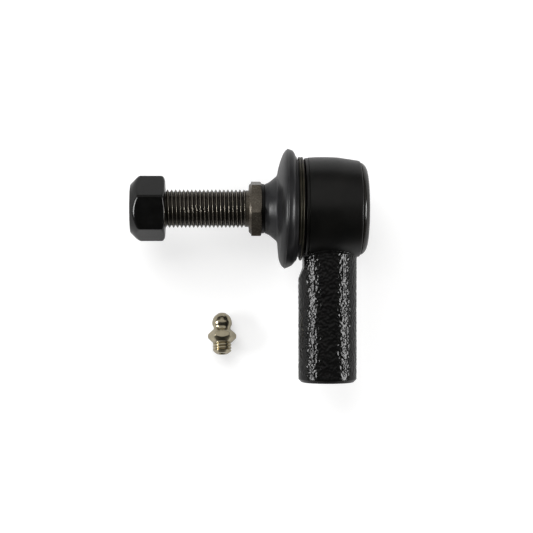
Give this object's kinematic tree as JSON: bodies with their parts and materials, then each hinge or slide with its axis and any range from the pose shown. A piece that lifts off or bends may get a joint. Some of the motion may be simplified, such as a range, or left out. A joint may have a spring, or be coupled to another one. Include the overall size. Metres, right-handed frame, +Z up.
{
  "type": "tie rod end",
  "caption": "Steering ball joint: a threaded stud with nut tilts and turns in a booted socket on an internally threaded shank, with a loose grease fitting.",
  "frame": {"origin": "centre of the shank's mouth, on the axis of its threaded bore", "axes": "+X from the stud towards the socket's closed end, +Y from the shank's mouth up to the ball, +Z up from the surface that the joint lies on"},
  "size_m": [0.0738, 0.0729, 0.0376],
  "materials": {
    "housing_paint": "gloss black coating, smooth on the turned eye and rough as forged on the shank",
    "cover_paint": "satin black coated plate",
    "stud_steel": "dark oiled steel with a slight brown tint",
    "nut_black": "gloss black oxide",
    "boot_rubber": "dark grey moulded rubber with a soft sheen",
    "ring_steel": "dark olive oiled spring wire",
    "seat_polymer": "off-white acetal",
    "spring_steel": "plain spring wire",
    "fitting_nickel": "bright nickel plating, warm silver",
    "check_ball_steel": "polished bearing ball"
  },
  "bodies": {
    "socket": {"socket_housing": "housing_paint", "cover_plate": "cover_paint", "boot_retaining_ring": "ring_steel"},
    "swivel_ring": {"upper_bearing_seat": "seat_polymer"},
    "tilt_frame": {"dust_boot": "boot_rubber"},
    "stud": {"ball_stud": "stud_steel"},
    "nut": {"stud_nut": "nut_black"},
    "lower_seat": {"lower_bearing_seat": "seat_polymer", "preload_spring": "spring_steel"},
    "loose_fitting": {"grease_fitting_body": "fitting_nickel", "grease_fitting_spring": "spring_steel"},
    "check_ball": {"grease_fitting_check_ball": "check_ball_steel"}
  },
  "joints": [
    {"name": "swivel", "type": "hinge", "parent": "socket", "child": "swivel_ring", "pos_m": [0, 0.0542, 0], "axis": [1, 0, 0], "continuous": true},
    {"name": "stud_tilt", "type": "hinge", "parent": "swivel_ring", "child": "tilt_frame", "pos_m": [0, 0.0542, 0], "axis": [0, 0, 1], "range_deg": [-25, 25], "deforming": ["dust_boot"]},
    {"name": "stud_spin", "type": "hinge", "parent": "tilt_frame", "child": "stud", "pos_m": [0, 0.0542, 0], "axis": [1, 0, 0], "continuous": true},
    {"name": "nut_travel", "type": "slide", "parent": "stud", "child": "nut", "axis": [1, 0, 0], "range_m": [-0.012, 0.025]},
    {"name": "preload_travel", "type": "slide", "parent": "socket", "child": "lower_seat", "axis": [1, 0, 0], "range_m": [0, 0.00025], "stiffness_N_per_m": 4000, "springref_m": -0.002, "deforming": ["preload_spring"]},
    {"name": "fitting_lift", "type": "slide", "parent": "socket", "child": "loose_fitting", "axis": [0, 0, 1], "range_m": [0, 0.03]},
    {"name": "check_ball_travel", "type": "slide", "parent": "loose_fitting", "child": "check_ball", "axis": [0, -0.9636, 0.2672], "range_m": [0, 0.0006], "stiffness_N_per_m": 300, "springref_m": -0.002, "deforming": ["grease_fitting_spring"]}
  ]
}
